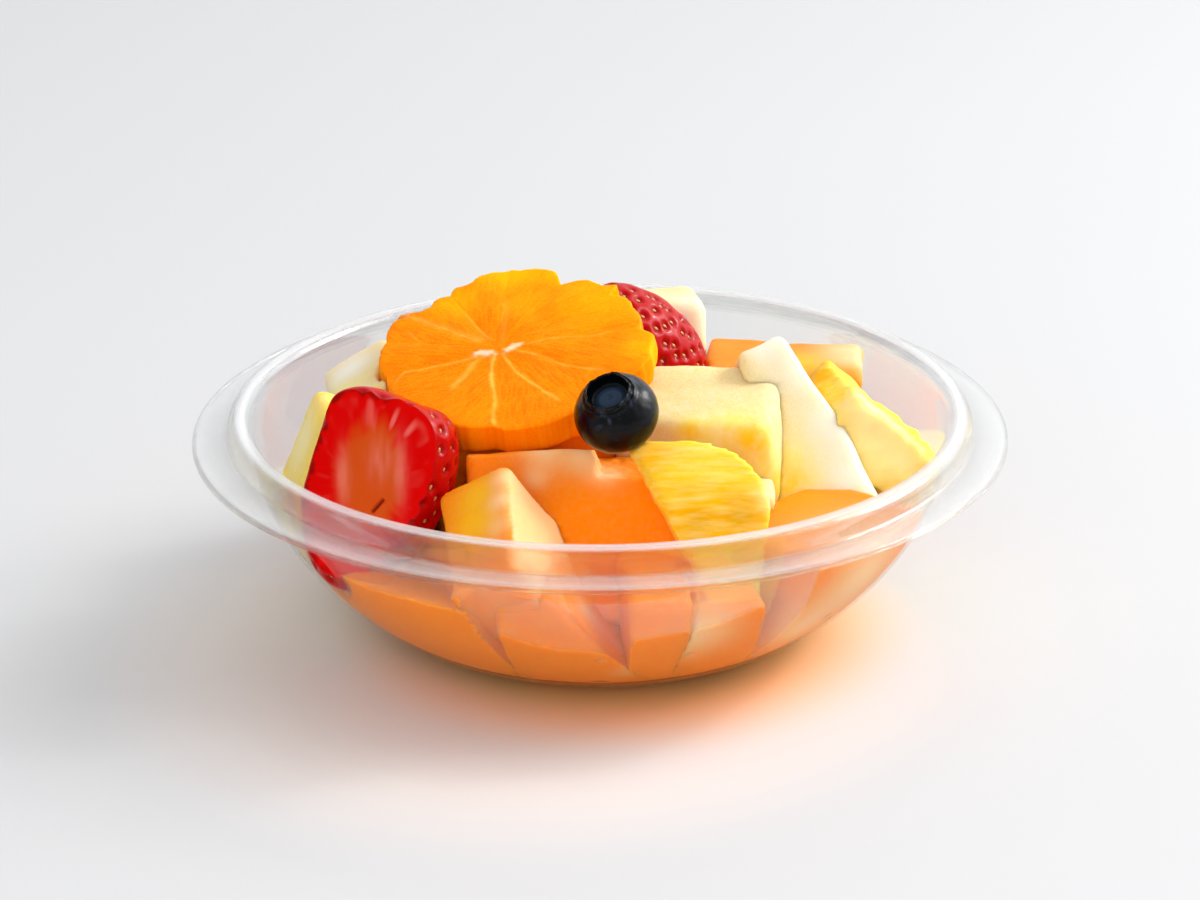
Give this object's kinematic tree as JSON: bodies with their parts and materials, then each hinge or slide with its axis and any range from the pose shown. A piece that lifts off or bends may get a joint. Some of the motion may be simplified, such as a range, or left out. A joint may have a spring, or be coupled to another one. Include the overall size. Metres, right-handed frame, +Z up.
{
  "type": "fruit salad",
  "caption": "Fruit salad in a shallow clear plastic bowl: melon and pineapple chunks, strawberries and a blueberry under a thick peeled orange wheel; food to serve or display.",
  "frame": {"origin": "centre of the bowl's foot, on the surface the bowl stands on", "axes": "+Z up through the bowl's middle, -Y towards the viewer's side with the cut strawberry on its left, +X to the right"},
  "size_m": [0.184, 0.184, 0.0738],
  "materials": {
    "bowl": "thin clear thermoformed plastic sheet, glossy",
    "orange": "wet cut orange flesh, juice sacs and paler membranes",
    "strawberry": "glossy seeded skin, paler streaked flesh where cut",
    "blueberry": "dark blue-black skin with a thin grey-blue bloom",
    "cantaloupe": "wet cut orange melon flesh",
    "honeydew": "wet cut cream-white melon flesh",
    "pineapple": "wet cut yellow pineapple flesh with fibres"
  },
  "bodies": {
    "root": {"bowl": "bowl", "orange_wheel": "orange", "blueberry": "blueberry", "strawberry_cut": "strawberry", "strawberry_whole": "strawberry", "pineapple_front": "pineapple", "honeydew_tall": "honeydew", "honeydew_middle": "honeydew", "cantaloupe_front": "cantaloupe", "cantaloupe_centre": "cantaloupe", "pineapple_right": "pineapple", "cantaloupe_back_right": "cantaloupe", "honeydew_left": "honeydew", "pineapple_left": "pineapple", "honeydew_back": "honeydew", "cantaloupe_back_left": "cantaloupe", "cantaloupe_low_front": "cantaloupe", "cantaloupe_low_left": "cantaloupe", "cantaloupe_low_middle": "cantaloupe", "cantaloupe_low_right": "cantaloupe", "cantaloupe_right": "cantaloupe", "honeydew_low_right": "honeydew", "cantaloupe_low_back_right": "cantaloupe", "pineapple_low_back": "pineapple", "cantaloupe_low_back_left": "cantaloupe", "honeydew_low_left": "honeydew", "cantaloupe_core_left": "cantaloupe", "honeydew_core_right": "honeydew"}
  },
  "joints": []
}
